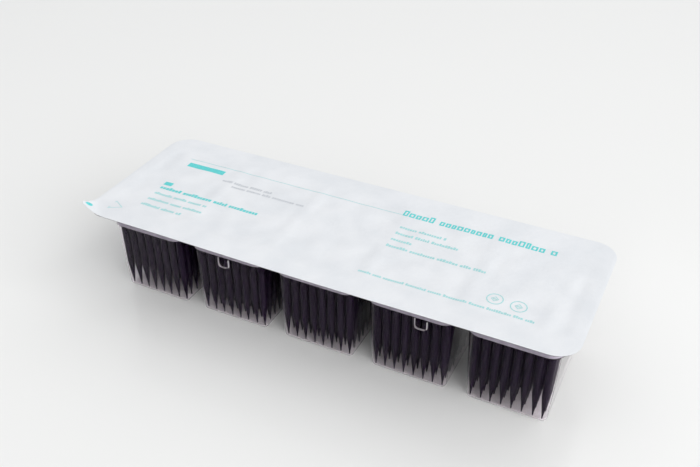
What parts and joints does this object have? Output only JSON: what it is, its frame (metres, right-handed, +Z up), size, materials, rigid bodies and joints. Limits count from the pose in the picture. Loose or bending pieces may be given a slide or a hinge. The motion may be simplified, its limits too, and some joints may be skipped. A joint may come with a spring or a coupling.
{
  "type": "blister pack of pipette tips",
  "caption": "Long clear thermoformed tray with deep pockets in a row, each holding a rack of black conductive pipette tips, closed by a white peelable lid.",
  "frame": {"origin": "on the surface that the pack stands on, under the middle of the tray", "axes": "+X along the row of pockets, +Y from the front to the back, +Z up through the lid"},
  "size_m": [0.4596, 0.1598, 0.0983],
  "materials": {
    "tray_film": "clear thermoformed film, glossy",
    "lid_paper": "white uncoated lidding sheet, matt",
    "rack_plastic": "grey moulded plastic, satin",
    "tip_plastic": "black conductive plastic, satin"
  },
  "bodies": {
    "root": {"tray_flange": "tray_film", "tray_pocket_1": "tray_film", "tray_pocket_2": "tray_film", "tray_pocket_3": "tray_film", "tray_pocket_4": "tray_film", "tray_pocket_5": "tray_film", "lid": "lid_paper", "rack_1": "rack_plastic", "rack_2": "rack_plastic", "rack_3": "rack_plastic", "rack_4": "rack_plastic", "rack_5": "rack_plastic", "rack_1_tips_a": "tip_plastic", "rack_1_tips_b": "tip_plastic", "rack_1_tips_c": "tip_plastic", "rack_1_tips_d": "tip_plastic", "rack_1_tips_e": "tip_plastic", "rack_1_tips_f": "tip_plastic", "rack_1_tips_g": "tip_plastic", "rack_1_tips_h": "tip_plastic", "rack_2_tips_a": "tip_plastic", "rack_2_tips_b": "tip_plastic", "rack_2_tips_c": "tip_plastic", "rack_2_tips_d": "tip_plastic", "rack_2_tips_e": "tip_plastic", "rack_2_tips_f": "tip_plastic", "rack_2_tips_g": "tip_plastic", "rack_2_tips_h": "tip_plastic", "rack_3_tips_a": "tip_plastic", "rack_3_tips_b": "tip_plastic", "rack_3_tips_c": "tip_plastic", "rack_3_tips_d": "tip_plastic", "rack_3_tips_e": "tip_plastic", "rack_3_tips_f": "tip_plastic", "rack_3_tips_g": "tip_plastic", "rack_3_tips_h": "tip_plastic", "rack_4_tips_a": "tip_plastic", "rack_4_tips_b": "tip_plastic", "rack_4_tips_c": "tip_plastic", "rack_4_tips_d": "tip_plastic", "rack_4_tips_e": "tip_plastic", "rack_4_tips_f": "tip_plastic", "rack_4_tips_g": "tip_plastic", "rack_4_tips_h": "tip_plastic", "rack_5_tips_a": "tip_plastic", "rack_5_tips_b": "tip_plastic", "rack_5_tips_c": "tip_plastic", "rack_5_tips_d": "tip_plastic", "rack_5_tips_e": "tip_plastic", "rack_5_tips_f": "tip_plastic", "rack_5_tips_g": "tip_plastic", "rack_5_tips_h": "tip_plastic"}
  },
  "joints": []
}
